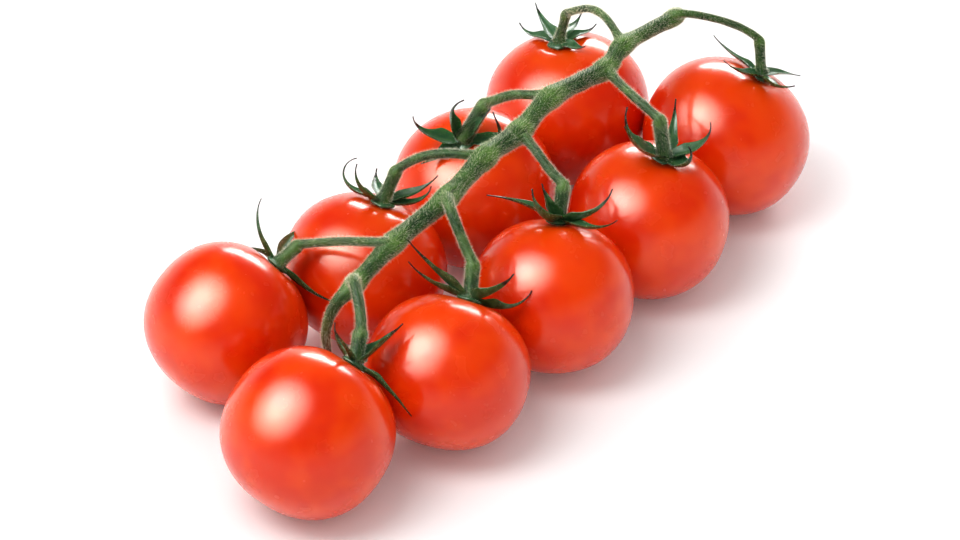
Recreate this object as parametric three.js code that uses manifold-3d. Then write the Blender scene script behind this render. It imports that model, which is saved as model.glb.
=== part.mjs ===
// A truss of ripe cherry tomatoes, lying on a table as picked: two rows of fruit on either side of
// the main stem (the rachis), each fruit under its own calyx and hung on a knuckled pedicel.
// Millimetres. +X runs along the truss from its withered tip to its cut end, and +Z is up.
import * as THREE from "three";
import { mergeVertices } from "three/addons/utils/BufferGeometryUtils.js";
import Module from "manifold-3d";

const wasm = await Module();
wasm.setup();

// ---- Driving dimensions ------------------------------------------------------------------------

const GAP = 0.3; // air left between pieces that grow on one another
const TABLE_SIDE = 400; // of the block that the fruit's flats are cut with

const FRUIT_SIDES = 20;
const FRUIT_RINGS = 12;
const FRUIT_FULLNESS = 2.2; // exponent of the fruit's outline: 2 is an ellipse, more is squarer
const FLATTENED = 0.2; // how much of the lowest skin is lost to the flat where a fruit rests
const DIMPLE_DEPTH = 0.9; // the hollow that the stalk sits in
const DIMPLE_REACH = 3.6;

const RECEPTACLE_RADIUS = 2.2; // the button that the sepals grow from
const RECEPTACLE_THICKNESS = 0.9;
const RECEPTACLE_OUTLINE = [[0, 0], [0.8, 0], [1, 0.4], [0.7, 1], [0, 1]]; // shares of those two
const RECEPTACLE_SIDES = 8;

const SEPAL_ROOT = 0.8; // distance from the fruit's axis where a sepal starts
const SEPAL_HALF_THICKNESS = 0.34;
const SEPAL_THINNING = 0.5; // the share of its thickness that a sepal loses by its tip
const SEPAL_FOOT_WIDTH = 0.6; // as a share of its widest
const SEPAL_WIDEST = 0.3; // where it is widest, as a share of its length
const SEPAL_NARROWING = 1.25; // exponent: more than 1 draws the tip out into a long thin point
const SEPAL_TIP_WIDTH = 0.15;
const CURL_DELAY = 1.5; // exponent: more than 1 keeps the curl for the tip
const SEPAL_SIDES = 6;
const SEPAL_STEPS = 8;

const KNUCKLE_SWELLING = 0.1; // the joint where a pedicel snaps off
const KNUCKLE_LENGTH = 1;
const PEDICEL_SIDES = 8;
const PEDICEL_STEPS = 16;

const NODE_SWELLING = 0.45; // how much the rachis widens where a pedicel leaves it
const NODE_LENGTH = 2.4;
const RACHIS_SIDES = 10;
const RACHIS_STEPS = 48;

// The rachis, from the cut end to the tip: its centre line and its radius there. It lies on the
// fruit, sinks between the last pair and ends in a withered stub.
const RACHIS = {
  cut: { at: [58, 1.3, 39.9], radius: 1.2 },
  first: { at: [57, 0.5, 40.3], radius: 1.25 },
  second: { at: [42, 1, 41], radius: 1.5 },
  third: { at: [35.5, 0, 39.5], radius: 1.6 },
  fourth: { at: [20.5, 1, 40], radius: 1.75 },
  fifth: { at: [10, 0, 38], radius: 1.8 },
  sixth: { at: [-0.5, -0.5, 38], radius: 1.8 },
  seventh: { at: [-13, -2, 36], radius: 1.75 },
  eighth: { at: [-28, -2, 34], radius: 1.65 },
  ninth: { at: [-39, -2.5, 31], radius: 1.35 },
  bend: { at: [-43, -1.5, 28.6], radius: 1.05 },
  stub: { at: [-44.9, -0.8, 23.5], radius: 0.8 },
  tip: { at: [-44.4, -0.5, 17.5], radius: 0.65 },
};

// The fruit, in the order in which their pedicels leave the rachis. Each has its place on the table,
// its radius and its height as a share of its width, and the lean of its axis and the direction it
// leans in, in degrees. Its pedicel sets off from its node of the rachis along `leaves`, comes in to
// its knuckle from `arrives`, and drops from there, over `knuckle`, to the calyx; its two radii are
// those above and below the knuckle. Each sepal has a heading about the axis, a length, the angle it
// starts at above the shoulder, how far it curls up and turns aside, and its largest half-width.
const FRUITS = [
  {
    node: "first", place: [61.5, -10], radius: 16.4, height: 0.88, lean: 28, toward: -30,
    leaves: [-3.5, -0.5, 4.5], arrives: [-2, 3.5, 4.5], knuckle: [0.5, 1.5, 6.5], radii: [0.72, 1.05],
    sepals: [
      [40, 8, 0, 40, 0, 1.3],
      [91, 12, -9, 29, 8, 1.1],
      [180, 13, 4, 19, -36, 1.4],
      [230, 12.5, 8, 39, 31, 1.5],
      [354, 11.5, 4, -6, -14, 1.4],
    ],
  },
  {
    node: "second", place: [49.5, 20.5], radius: 16.2, height: 0.9, lean: 9, toward: 90,
    leaves: [5, 9.5, 5], arrives: [-2.5, -6, 4.5], knuckle: [1, -1, 6], radii: [0.72, 0.98],
    sepals: [
      [21, 13, -28, 52, -5, 1.6],
      [67, 11.5, 13, 17, -17, 1.4],
      [86, 13, -37, 67, -24, 1.5],
      [265, 7, -8, 50, 0, 1.5],
      [343, 9.5, -30, 51, 25, 1.6],
    ],
  },
  {
    node: "third", place: [30, -15.5], radius: 15.5, height: 0.93, lean: 11, toward: -35,
    leaves: [-3.5, -8, 0], arrives: [0, 5, 2], knuckle: [-0.5, 1, 7.5], radii: [0.85, 1.35],
    sepals: [
      [24, 14, -4, 86, 41, 1.6],
      [110, 9, 0, 60, 0, 1.5],
      [168, 17.5, 21, 75, -60, 2.5],
      [269, 9.5, -11, 166, 7, 2.4],
      [309, 12.5, 19, 95, -9, 1.9],
    ],
  },
  {
    node: "fourth", place: [16.5, 16.5], radius: 15.7, height: 0.91, lean: 18, toward: -170,
    leaves: [-3.5, 7, 0.5], arrives: [0.5, -4.5, 3], knuckle: [4.5, -2, 6.5], radii: [0.88, 1.5],
    sepals: [
      [105, 13.5, 75, 76, 13, 1.6],
      [140, 13, 26, 72, -14, 1.8],
      [165, 9, -5, 30, 0, 1.5],
      [298, 14.5, -6, 166, -66, 1.6],
      [311, 10, 53, 4, -3, 1.8],
    ],
  },
  {
    node: "fifth", place: [-1, -17.5], radius: 15.2, height: 0.94, lean: 26, toward: 30,
    leaves: [-2, -7.5, -0.5], arrives: [0, 5.5, 2], knuckle: [2.5, 1, 5.5], radii: [0.87, 1.32],
    sepals: [
      [131, 13.5, 26, -27, -5, 1.4],
      [189, 10, 41, 22, -6, 1.8],
      [193, 13.5, 5, 76, -20, 2.2],
      [264, 14.5, -9, 48, 2, 1.5],
      [278, 13, 12, 66, 16, 2.1],
    ],
  },
  {
    node: "sixth", place: [-17, 15], radius: 15.5, height: 0.9, lean: 21, toward: -5,
    leaves: [-5.5, 5.5, 2], arrives: [3, -3.5, 4], knuckle: [2.5, -1, 5.5], radii: [0.85, 1.25],
    sepals: [
      [52, 12, -2, 27, -16, 1.5],
      [107, 14, -35, 199, 34, 1.1],
      [158, 11, 16, 80, -5, 1.4],
      [311, 10, 0, 95, -9, 1.5],
      [326, 11, 22, 42, -2, 1.6],
    ],
  },
  {
    node: "seventh", place: [-31.5, -18], radius: 15.1, height: 0.92, lean: 43, toward: 15,
    leaves: [-4, -3.5, 4.5], arrives: [2, 5.5, 3.5], knuckle: [3, 2, 4.5], radii: [0.95, 1.38],
    sepals: [
      [45, 9, 5, 45, 0, 1.6],
      [131, 12.5, 2, 33, 8, 1.5],
      [140, 15, 22, 12, -4, 1.9],
      [259, 11.5, 21, 30, -21, 1.9],
      [321, 12.5, -10, 93, -1, 2],
    ],
  },
  {
    node: "eighth", place: [-47, 22.5], radius: 14.9, height: 0.97, lean: 53, toward: -15,
    leaves: [-5.5, -1, 4], arrives: [3, -7.5, 3], knuckle: [3.5, -1.5, 2.5], radii: [0.8, 1.25],
    sepals: [
      [30, 7, -10, 20, 0, 1.4],
      [47, 14.5, 34, 4, -61, 1.3],
      [72, 10, -11, -8, -13, 1.1],
      [121, 12.5, 13, 63, 10, 1.1],
      [300, 13.5, -4, 37, 0, 1.4],
    ],
  },
  {
    node: "ninth", place: [-61.8, -11.5], radius: 15.4, height: 0.97, lean: 50, toward: -5,
    leaves: [-2, -1, 6], arrives: [3.5, 2.5, 2], knuckle: [3, 1.5, 3.5], radii: [0.98, 1.38],
    sepals: [
      [20, 9, 10, 50, 0, 1.4],
      [85, 9, 10, 50, 0, 1.4],
      [188, 12, 12, 2, -20, 0.9],
      [292, 13.5, -8, -11, 0, 1.4],
      [318, 11, 72, 7, 0, 2.4],
    ],
  },
];

const SKIN = { color: 0xe0260a, roughness: 0.22, metalness: 0 };
const STEM = { color: 0x5c8a3c, roughness: 0.7, metalness: 0 };
const SEPAL = { color: 0x3f6a38, roughness: 0.75, metalness: 0 };

// ---- Solids ------------------------------------------------------------------------------------

const UP = new THREE.Vector3(0, 0, 1);

// A closed geometry as a solid that can be cut and joined.
function solidOf(geometry) {
  geometry.deleteAttribute("normal");
  geometry.deleteAttribute("uv");
  const merged = mergeVertices(geometry);
  const mesh = new wasm.Mesh({
    numProp: 3,
    vertProperties: merged.attributes.position.array,
    triVerts: merged.index.array,
  });
  return new wasm.Manifold(mesh);
}

// The mesh of a solid's largest body: a sepal tip cut off by a neighbour is dropped.
function meshOf(name, solid, finish) {
  const bodies = solid.decompose();
  bodies.sort((a, b) => b.volume() - a.volume());
  const { vertProperties, triVerts } = bodies[0].getMesh();
  const geometry = new THREE.BufferGeometry();
  geometry.setAttribute("position", new THREE.BufferAttribute(vertProperties, 3));
  geometry.setIndex(new THREE.BufferAttribute(triVerts, 1));
  geometry.computeVertexNormals();
  const mesh = new THREE.Mesh(geometry, new THREE.MeshStandardMaterial(finish));
  mesh.name = name;
  return mesh;
}

// A closed limb through a row of stations, each with a centre, two half-axes and their sizes.
function limb(stations, sides) {
  const steps = stations.length - 1;
  const geometry = new THREE.CylinderGeometry(1, 1, 1, sides, steps);
  const position = geometry.attributes.position;
  for (let i = 0; i < position.count; i += 1) {
    const station = stations[Math.round((position.getY(i) + 0.5) * steps)];
    const point = station.centre.clone();
    point.addScaledVector(station.across, position.getX(i) * station.halfWidth);
    point.addScaledVector(station.over, position.getZ(i) * station.halfThickness);
    position.setXYZ(i, point.x, point.y, point.z);
  }
  return solidOf(geometry);
}

// A round limb along a curve, with the radius that radiusAt gives for a point and its share of the way.
function roundLimb(curve, steps, sides, radiusAt) {
  const frames = curve.computeFrenetFrames(steps, false);
  const stations = frames.tangents.map((_, step) => {
    const centre = curve.getPointAt(step / steps);
    const radius = radiusAt(centre, step / steps);
    return {
      centre,
      across: frames.normals[step],
      over: frames.binormals[step].clone().negate(),
      halfWidth: radius,
      halfThickness: radius,
    };
  });
  return limb(stations, sides);
}

// ---- Fruit -------------------------------------------------------------------------------------

// Height of the upper skin above the fruit's middle, at a distance from its axis.
function skinHeight(fruit, distance) {
  const share = Math.min(distance / fruit.radius, 1);
  const dome = (1 - share ** FRUIT_FULLNESS) ** (1 / FRUIT_FULLNESS);
  const dimple = DIMPLE_DEPTH * Math.exp(-((distance / DIMPLE_REACH) ** 2));
  return fruit.radius * fruit.height * dome - dimple;
}

// The fruit standing on its blossom end, about its own middle, `grown` larger all round.
function uprightFruit(fruit, grown) {
  const power = 2 / FRUIT_FULLNESS;
  const outline = [];
  for (let ring = 0; ring <= FRUIT_RINGS; ring += 1) {
    const angle = Math.PI * (ring / FRUIT_RINGS - 0.5);
    const out = fruit.radius * Math.abs(Math.cos(angle)) ** power;
    const drop = -fruit.radius * fruit.height * Math.abs(Math.sin(angle)) ** power;
    const up = angle > 0 ? skinHeight(fruit, out) : drop;
    const atPole = ring === 0 || ring === FRUIT_RINGS;
    const swell = 1 + grown / fruit.radius;
    outline.push(new THREE.Vector2(atPole ? 0 : out * swell, up * swell));
  }
  return new THREE.LatheGeometry(outline, FRUIT_SIDES).rotateX(Math.PI / 2);
}

// Where the fruit lies: its axis, its turn from upright and its middle, with its lowest skin on
// the table less what the flat takes.
function lie(fruit) {
  const lean = THREE.MathUtils.degToRad(fruit.lean);
  const toward = THREE.MathUtils.degToRad(fruit.toward);
  const axis = new THREE.Vector3(
    Math.sin(lean) * Math.cos(toward),
    Math.sin(lean) * Math.sin(toward),
    Math.cos(lean),
  );
  const turn = new THREE.Quaternion().setFromUnitVectors(UP, axis);
  const leaning = uprightFruit(fruit, 0).applyQuaternion(turn);
  leaning.computeBoundingBox();
  const middle = new THREE.Vector3(...fruit.place, -leaning.boundingBox.min.z - FLATTENED);
  return { axis, turn, middle };
}

function fruitSolid(fruit, grown) {
  const geometry = uprightFruit(fruit, grown).applyQuaternion(fruit.lie.turn);
  return solidOf(geometry.translate(...fruit.lie.middle));
}

// The table, as a block to cut the fruit's flats with.
function tableSolid() {
  const block = new THREE.BoxGeometry(TABLE_SIDE, TABLE_SIDE, TABLE_SIDE);
  return solidOf(block.translate(0, 0, -TABLE_SIDE / 2));
}

// ---- Calyx -------------------------------------------------------------------------------------

// Height of the receptacle's underside above the fruit's middle.
function receptacleSeat(fruit) {
  return skinHeight(fruit, RECEPTACLE_RADIUS) + GAP;
}

// The height above the fruit's middle where the pedicel's foot stands.
function pedicelSeat(fruit) {
  return receptacleSeat(fruit) + RECEPTACLE_THICKNESS + GAP;
}

function receptacle(fruit) {
  const bottom = receptacleSeat(fruit);
  const outline = RECEPTACLE_OUTLINE.map(([out, up]) => (
    new THREE.Vector2(RECEPTACLE_RADIUS * out, bottom + RECEPTACLE_THICKNESS * up)
  ));
  return solidOf(new THREE.LatheGeometry(outline, RECEPTACLE_SIDES).rotateX(Math.PI / 2));
}

// Width of a sepal at a share of its length, as a share of its widest.
function taper(share) {
  const rise = Math.sin((Math.PI / 2) * Math.min(share / SEPAL_WIDEST, 1));
  const fall = Math.min((1 - share) / (1 - SEPAL_WIDEST), 1) ** SEPAL_NARROWING;
  return Math.max(THREE.MathUtils.lerp(SEPAL_FOOT_WIDTH, 1, rise) * fall, SEPAL_TIP_WIDTH);
}

// One sepal: it sets off along its heading, curls up and turns aside more and more towards its tip,
// and never sinks below the skin.
function sepal(fruit, [heading, length, start, curl, sway, halfWidth]) {
  const stations = [];
  const stride = length / SEPAL_STEPS;
  const toRadians = THREE.MathUtils.degToRad;
  const spot = new THREE.Vector3(SEPAL_ROOT, 0, 0).applyAxisAngle(UP, toRadians(heading));
  spot.z = receptacleSeat(fruit) + RECEPTACLE_THICKNESS / 2;
  for (let step = 0; step <= SEPAL_STEPS; step += 1) {
    const share = step / SEPAL_STEPS;
    const climb = toRadians(start + curl * share ** CURL_DELAY);
    const angle = toRadians(heading + sway * share ** 2);
    const outward = new THREE.Vector3(Math.cos(angle), Math.sin(angle), 0);
    const lowest = skinHeight(fruit, Math.hypot(spot.x, spot.y)) + GAP + SEPAL_HALF_THICKNESS;
    spot.z = Math.max(spot.z, lowest);
    stations.push({
      centre: spot.clone(),
      across: new THREE.Vector3().crossVectors(outward, UP),
      over: UP.clone().multiplyScalar(Math.cos(climb)).addScaledVector(outward, -Math.sin(climb)),
      halfWidth: halfWidth * taper(share),
      halfThickness: SEPAL_HALF_THICKNESS * (1 - SEPAL_THINNING * share),
    });
    spot.addScaledVector(outward, stride * Math.cos(climb));
    spot.addScaledVector(UP, stride * Math.sin(climb));
  }
  return limb(stations, SEPAL_SIDES);
}

function calyxSolid(fruit) {
  const whole = fruit.sepals.reduce(
    (joined, data) => joined.add(sepal(fruit, data)),
    receptacle(fruit),
  );
  const turned = new THREE.Matrix4().compose(
    fruit.lie.middle,
    fruit.lie.turn,
    new THREE.Vector3(1, 1, 1),
  );
  return whole.transform(turned.elements);
}

// ---- Stems -------------------------------------------------------------------------------------

function pointOn(fruit, height) {
  return fruit.lie.middle.clone().addScaledVector(fruit.lie.axis, height);
}

// The pedicel, `grown` thicker all round: it arches from its node over to the knuckle, and drops
// from there, thicker, to its calyx.
function pedicelSolid(fruit, grown) {
  const node = new THREE.Vector3(...RACHIS[fruit.node].at);
  const drop = new THREE.Vector3(...fruit.knuckle);
  const knuckle = pointOn(fruit, pedicelSeat(fruit)).add(drop);
  const arch = new THREE.CubicBezierCurve3(
    node,
    node.clone().add(new THREE.Vector3(...fruit.leaves)),
    knuckle.clone().add(new THREE.Vector3(...fruit.arrives)),
    knuckle,
  );
  const end = knuckle.clone().sub(drop.clone().setLength(drop.length() + grown));
  const foot = new THREE.LineCurve3(knuckle, end);
  const line = new THREE.CurvePath();
  line.add(arch);
  line.add(foot);
  const [above, below] = fruit.radii;
  const length = line.getLength();
  return roundLimb(line, PEDICEL_STEPS, PEDICEL_SIDES, (_, share) => {
    const past = length * share - arch.getLength(); // how far beyond the knuckle
    const radius = THREE.MathUtils.lerp(
      above,
      below,
      THREE.MathUtils.smoothstep(past, -KNUCKLE_LENGTH, KNUCKLE_LENGTH),
    );
    return radius + KNUCKLE_SWELLING * Math.exp(-((past / KNUCKLE_LENGTH) ** 2)) + grown;
  });
}

// The rachis, `grown` thicker all round.
function rachisSolid(grown) {
  const posts = Object.values(RACHIS);
  const curve = new THREE.CatmullRomCurve3(posts.map((post) => new THREE.Vector3(...post.at)));
  const nodes = FRUITS.map((fruit) => new THREE.Vector3(...RACHIS[fruit.node].at));
  return roundLimb(curve, RACHIS_STEPS, RACHIS_SIDES, (point, share) => {
    const along = curve.getUtoTmapping(share) * (posts.length - 1);
    const before = Math.min(Math.floor(along), posts.length - 2);
    const radius = THREE.MathUtils.lerp(
      posts[before].radius,
      posts[before + 1].radius,
      along - before,
    );
    const nearest = Math.min(...nodes.map((node) => node.distanceTo(point)));
    return radius + NODE_SWELLING * Math.exp(-((nearest / NODE_LENGTH) ** 2)) + grown;
  });
}

// ---- Assembly ----------------------------------------------------------------------------------

FRUITS.forEach((fruit) => {
  fruit.lie = lie(fruit);
});

// What the calyxes have to keep clear of: the rachis, the pedicels and the fruit.
const rachisRoom = rachisSolid(GAP);
const calyxRoom = [
  rachisRoom,
  ...FRUITS.map((fruit) => pedicelSolid(fruit, GAP)),
  ...FRUITS.map((fruit) => fruitSolid(fruit, GAP)),
];
const table = tableSolid();

const truss = new THREE.Group();
truss.add(meshOf("rachis", rachisSolid(0), STEM));
FRUITS.forEach((fruit, index) => {
  const number = index + 1;
  const pedicel = pedicelSolid(fruit, 0).subtract(rachisRoom);
  const calyx = calyxRoom.reduce((rest, room) => rest.subtract(room), calyxSolid(fruit));
  truss.add(meshOf(`pedicel_${number}`, pedicel, STEM));
  truss.add(meshOf(`calyx_${number}`, calyx, SEPAL));
  truss.add(meshOf(`tomato_${number}`, fruitSolid(fruit, 0).subtract(table), SKIN));
});

// The origin is under the middle of the whole truss.
const box = new THREE.Box3().setFromObject(truss);
const middle = box.getCenter(new THREE.Vector3());
truss.position.set(-middle.x, -middle.y, -box.min.z);

export default truss;
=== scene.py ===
"""Looks of a truss of ripe cherry tomatoes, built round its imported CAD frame.

The frame is in metres: +X runs along the truss from its withered tip to its cut end, +Z is up
and the table is at z = 0. Sizes below are in millimetres, as a grower would measure them, and
are turned into metres when a mesh is made.
"""

import logging
import math
import random
from dataclasses import dataclass, field
from enum import Enum
from typing import Any, ClassVar

import bpy
import numpy as np
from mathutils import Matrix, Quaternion, Vector


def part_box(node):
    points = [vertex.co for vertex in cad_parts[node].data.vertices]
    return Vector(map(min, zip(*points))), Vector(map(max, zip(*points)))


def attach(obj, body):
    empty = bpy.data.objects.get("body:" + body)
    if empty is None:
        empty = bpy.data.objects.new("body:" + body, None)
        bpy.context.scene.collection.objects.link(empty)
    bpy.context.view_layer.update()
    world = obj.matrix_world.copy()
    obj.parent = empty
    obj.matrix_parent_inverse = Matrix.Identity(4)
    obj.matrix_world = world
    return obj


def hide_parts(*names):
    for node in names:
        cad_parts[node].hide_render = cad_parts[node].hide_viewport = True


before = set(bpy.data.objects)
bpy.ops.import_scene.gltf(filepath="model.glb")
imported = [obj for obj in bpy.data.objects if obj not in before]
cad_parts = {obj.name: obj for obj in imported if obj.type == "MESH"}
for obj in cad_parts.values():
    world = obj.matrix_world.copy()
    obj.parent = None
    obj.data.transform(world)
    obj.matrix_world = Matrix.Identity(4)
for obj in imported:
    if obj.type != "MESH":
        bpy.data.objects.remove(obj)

LOG = logging.getLogger("truss")
MM = 0.001
BODY = "root"
UP = Vector((0.0, 0.0, 1.0))
Color = tuple[float, float, float, float]
Points = np.ndarray

# The CAD layout's own middle, in millimetres: the origin is under it.
TRUSS_MIDDLE = Vector((0.6, 2.17, 0.0))


class Slot(Enum):
    """The record's material slots."""

    SKIN = "tomato_skin"
    STEM = "stem_green"
    SEPAL = "sepal_green"


# ---- Node trees ---------------------------------------------------------------------------------


class Graph:
    """A node tree with short calls that add nodes and wire them."""

    def __init__(self, tree: bpy.types.NodeTree) -> None:
        """Keeps the tree.

        Args:
            tree: An empty shader or geometry node tree.
        """
        self.tree = tree

    def add(self, kind: str, inputs: dict | None = None, **settings: Any) -> bpy.types.Node:
        """Adds one node.

        Args:
            kind: The node's type name.
            inputs: Values or output sockets, by input name or index.
            **settings: The node's own properties.

        Returns:
            The new node.
        """
        node = self.tree.nodes.new(kind)
        for name, value in settings.items():
            setattr(node, name, value)
        for key, value in (inputs or {}).items():
            if isinstance(value, bpy.types.NodeSocket):
                self.tree.links.new(value, node.inputs[key])
            else:
                node.inputs[key].default_value = value
        return node

    def attribute(self, name: str) -> bpy.types.NodeSocket:
        """The value of a mesh attribute, in a shader tree."""
        return self.add("ShaderNodeAttribute", attribute_name=name).outputs["Fac"]

    def place(self) -> bpy.types.NodeSocket:
        """The Object coordinates, in a shader tree."""
        return self.add("ShaderNodeTexCoord").outputs["Object"]

    def math(self, operation: str, a: Any, b: Any = 0.0) -> bpy.types.NodeSocket:
        """One step of arithmetic on two values."""
        return self.add("ShaderNodeMath", {0: a, 1: b}, operation=operation).outputs[0]

    def noise(self, vector: Any, size: float, detail: float = 2.0) -> bpy.types.NodeSocket:
        """Soft noise whose blotches are about a given size.

        Args:
            vector: The coordinates that it reads.
            size: Size of a blotch, in the coordinates' unit.
            detail: How many finer octaves it has.

        Returns:
            The noise, about 0.3 to 0.7.
        """
        inputs = {"Vector": vector, "Scale": 1.0 / size, "Detail": detail, "Roughness": 0.55}
        return self.add("ShaderNodeTexNoise", inputs).outputs[0]

    def remap(self, value: Any, low: float, high: float, to_low: float = 0.0,
              to_high: float = 1.0) -> bpy.types.NodeSocket:
        """Takes low..high smoothly to to_low..to_high, and holds it there outside."""
        inputs = {0: value, 1: low, 2: high, 3: to_low, 4: to_high}
        return self.add("ShaderNodeMapRange", inputs, interpolation_type="SMOOTHSTEP").outputs[0]

    def blend(self, share: Any, a: Any, b: Any) -> bpy.types.NodeSocket:
        """Mixes colour a with colour b by a share."""
        inputs = {0: share, 6: a, 7: b}
        return self.add("ShaderNodeMix", inputs, data_type="RGBA").outputs[2]

    def point(self, x: Any, y: Any, z: Any) -> bpy.types.NodeSocket:
        """A vector from three values."""
        return self.add("ShaderNodeCombineXYZ", {0: x, 1: y, 2: z}).outputs[0]

    def bump(self, height: Any, distance: float, strength: float = 1.0) -> bpy.types.NodeSocket:
        """A bumped normal from a height."""
        inputs = {"Strength": strength, "Distance": distance, "Height": height}
        return self.add("ShaderNodeBump", inputs).outputs[0]


class Finish:
    """A finish: a material of one Principled shader, whose inputs each kind of finish gives."""

    name: ClassVar[str]

    def shade(self, graph: Graph) -> dict[str, Any]:
        """Builds the nodes behind the shader.

        Args:
            graph: The material's own tree, still empty.

        Returns:
            Values or sockets by the name of the shader's input.
        """
        raise NotImplementedError

    def make(self) -> bpy.types.Material:
        """Makes the material.

        Returns:
            The material.
        """
        material = bpy.data.materials.new(self.name)
        material.use_nodes = True
        material.node_tree.nodes.clear()
        graph = Graph(material.node_tree)
        shader = graph.add("ShaderNodeBsdfPrincipled", self.shade(graph))
        graph.add("ShaderNodeOutputMaterial", {"Surface": shader.outputs[0]})
        return material


# ---- Finishes -----------------------------------------------------------------------------------


@dataclass(frozen=True)
class SkinFinish(Finish):
    """Ripe, waxy skin over wet flesh: orange-red, deeper in blotches, with fine pale flecks."""

    name: ClassVar[str] = "tomato_skin"
    ripe: Color = (0.74, 0.056, 0.0002, 1.0)
    deep: Color = (0.64, 0.026, 0.0002, 1.0)
    shoulder: Color = (0.74, 0.075, 0.0005, 1.0)
    fleck: Color = (0.66, 0.09, 0.004, 1.0)
    gleam: Color = (1.0, 0.86, 0.70, 1.0)
    scar: Color = (0.16, 0.06, 0.015, 1.0)
    roughness: float = 0.24
    flesh_depth: float = 0.0022

    def shade(self, graph: Graph) -> dict[str, Any]:
        """Colours the skin by the fruit's `drop`, `turn_x` and `turn_y`.

        Args:
            graph: The material's own tree, still empty.

        Returns:
            Values or sockets by the name of the shader's input.
        """
        place = graph.place()
        drop = graph.attribute("drop")
        around = graph.point(graph.attribute("turn_x"), graph.attribute("turn_y"), 0.0)
        blotches = graph.remap(graph.noise(place, 0.011), 0.35, 0.65)
        streaks = graph.noise(around, 0.16, 3.0)
        color = graph.blend(blotches, self.ripe, self.deep)
        shoulder = graph.math("MULTIPLY", graph.remap(drop, 0.28, 0.04), streaks)
        color = graph.blend(shoulder, color, self.shoulder)
        cells = graph.add("ShaderNodeTexVoronoi", {"Vector": place, "Scale": 1100.0})
        flecks = graph.remap(cells.outputs["Distance"], 0.24, 0.10)
        color = graph.blend(graph.math("MULTIPLY", flecks, 0.03), color, self.fleck)
        color = graph.blend(graph.remap(drop, 0.982, 0.992), color, self.scar)
        rough = graph.remap(graph.noise(place, 0.004), 0.3, 0.7, self.roughness - 0.03,
                            self.roughness + 0.04)
        return {
            "Base Color": color,
            "Roughness": rough,
            "Subsurface Weight": 0.35,
            "Subsurface Radius": (1.0, 0.22, 0.08),
            "Subsurface Scale": self.flesh_depth,
            "Specular IOR Level": 0.5,
            "Specular Tint": self.gleam,
            "Coat Weight": 0.3,
            "Coat Roughness": 0.09,
            "Normal": graph.bump(graph.noise(place, 0.003, 1.0), 0.00002, 0.25),
        }


@dataclass(frozen=True)
class StemFinish(Finish):
    """Green stem with lengthwise fibres, yellower where it is swollen."""

    name: ClassVar[str] = "stem_green"
    green: Color = (0.028, 0.080, 0.018, 1.0)
    dark: Color = (0.010, 0.034, 0.010, 1.0)
    swollen: Color = (0.12, 0.23, 0.045, 1.0)
    withered: Color = (0.11, 0.075, 0.03, 1.0)
    down: Color = (1.0, 0.93, 0.72, 1.0)
    fibre: float = 0.25

    def shade(self, graph: Graph) -> dict[str, Any]:
        """Colours the stem by its `along`, `turn_x`, `turn_y`, `swell` and `dry`.

        Args:
            graph: The material's own tree, still empty.

        Returns:
            Values or sockets by the name of the shader's input.
        """
        place = graph.place()
        along = graph.math("MULTIPLY", graph.attribute("along"), 0.12)
        lengthwise = graph.point(graph.attribute("turn_x"), graph.attribute("turn_y"), along)
        fibres = graph.noise(lengthwise, self.fibre, 4.0)
        color = graph.blend(graph.remap(fibres, 0.35, 0.65), self.dark, self.green)
        patches = graph.remap(graph.noise(place, 0.006), 0.45, 0.7, 0.0, 0.45)
        color = graph.blend(patches, color, self.swollen)
        swell = graph.math("MULTIPLY", graph.attribute("swell"), graph.remap(fibres, 0.25, 0.6))
        color = graph.blend(swell, color, self.swollen)
        color = graph.blend(graph.attribute("dry"), color, self.withered)
        grain = graph.math("ADD", fibres, graph.noise(place, 0.0004, 2.0))
        return {
            "Base Color": color,
            "Roughness": 0.5,
            "Specular IOR Level": 0.22,
            "Subsurface Weight": 0.1,
            "Subsurface Radius": (0.5, 1.0, 0.2),
            "Subsurface Scale": 0.0006,
            "Sheen Weight": 0.06,
            "Sheen Roughness": 0.35,
            "Sheen Tint": self.down,
            "Normal": graph.bump(grain, 0.00012, 0.6),
        }


@dataclass(frozen=True)
class SepalFinish(Finish):
    """Leafy sepal: dark green with a paler midrib and a browned tip; its upper side is painted lighter as
    if lit and its lower side darker as painted shade.
    """

    name: ClassVar[str] = "sepal_green"
    # Painted light: the upper colour is the sepal as if lit, the lower colour the same green in painted
    # shade.
    upper: Color = (0.036, 0.105, 0.046, 1.0)
    shaded_lower: Color = (0.020, 0.062, 0.020, 1.0)
    rib: Color = (0.09, 0.18, 0.07, 1.0)
    tip: Color = (0.010, 0.007, 0.004, 1.0)

    def shade(self, graph: Graph) -> dict[str, Any]:
        """Colours the sepal by its `blade`, `side` and `face`; by `face` the upper side is painted
        lighter as if lit and the lower side darker as painted shade.

        Args:
            graph: The material's own tree, still empty.

        Returns:
            Values or sockets by the name of the shader's input.
        """
        place = graph.place()
        blade = graph.attribute("blade")
        side = graph.attribute("side")
        # Painted light and shade: the upper side gets the lighter, lit colour and the lower side the
        # darker, painted-shade colour.
        face = graph.remap(graph.attribute("face"), -0.2, 0.2)
        color = graph.blend(face, self.shaded_lower, self.upper)
        mottle = graph.remap(graph.noise(place, 0.0014, 3.0), 0.35, 0.7, 0.0, 0.5)
        color = graph.blend(mottle, color, self.rib)
        rib = graph.remap(graph.math("ABSOLUTE", side), 0.22, 0.02)
        color = graph.blend(graph.math("MULTIPLY", rib, 0.7), color, self.rib)
        ragged = graph.remap(graph.noise(place, 0.002), 0.3, 0.7, -0.12, 0.12)
        worn = graph.math("ADD", blade, ragged)
        color = graph.blend(graph.remap(worn, 0.62, 0.9), color, self.tip)
        return {
            "Base Color": color,
            "Roughness": 0.26,
            "Specular IOR Level": 0.5,
            "Subsurface Weight": 0.1,
            "Subsurface Radius": (0.4, 1.0, 0.2),
            "Subsurface Scale": 0.0006,
            "Normal": graph.bump(graph.noise(place, 0.0005, 3.0), 0.0001, 0.6),
        }


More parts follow.
